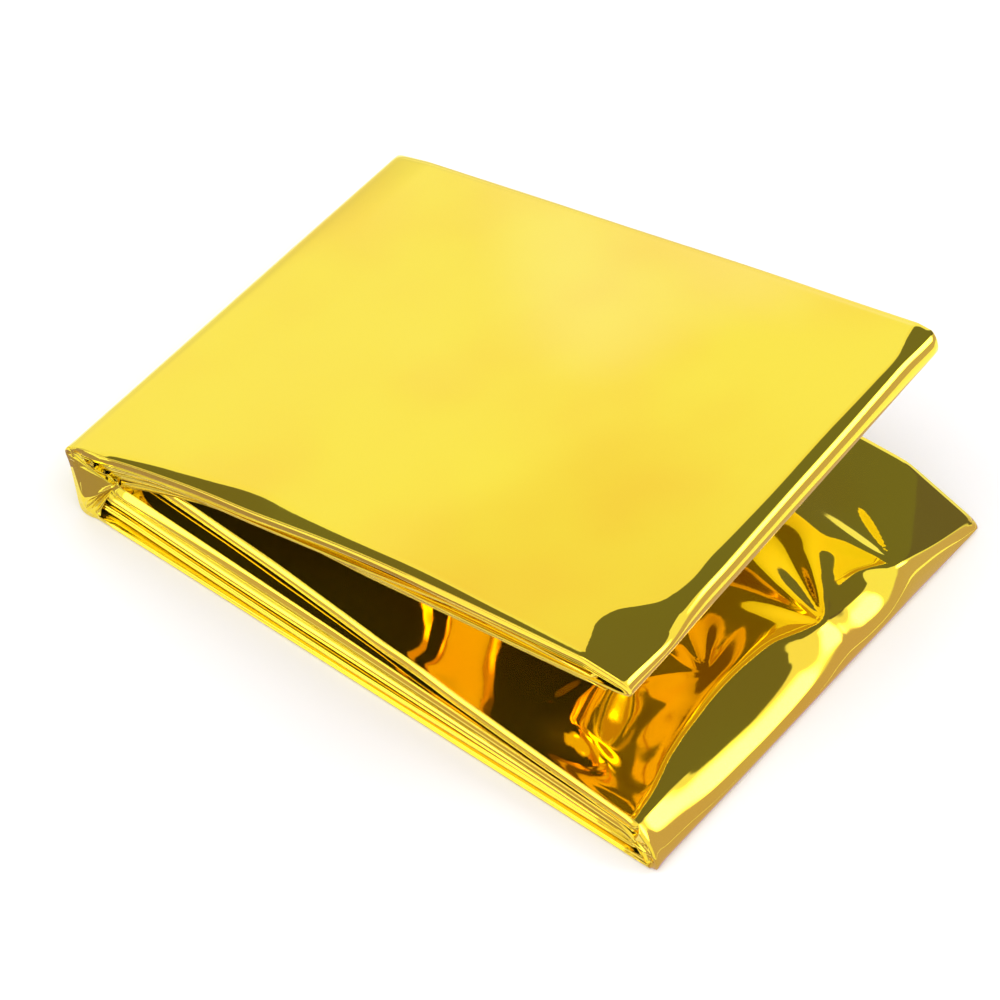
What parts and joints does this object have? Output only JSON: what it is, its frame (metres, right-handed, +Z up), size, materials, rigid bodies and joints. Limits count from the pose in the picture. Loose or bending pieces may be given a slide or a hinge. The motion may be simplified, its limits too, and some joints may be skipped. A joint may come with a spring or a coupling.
{
  "type": "emergency foil blanket",
  "caption": "Gold metallised film blanket, folded back and forth into a thick rectangular pad that stands open at its spine like a book.",
  "frame": {"origin": "the middle of the blanket's underside, on the surface that it rests on", "axes": "+X from the spine towards the open ends of the flaps, +Y along the spine towards the higher back corner, +Z up"},
  "size_m": [0.1338, 0.1004, 0.0456],
  "materials": {
    "gold_film": "bright yellow metallised film, mirror smooth with soft creases"
  },
  "bodies": {
    "root": {"foil_blanket": "gold_film"}
  },
  "joints": []
}
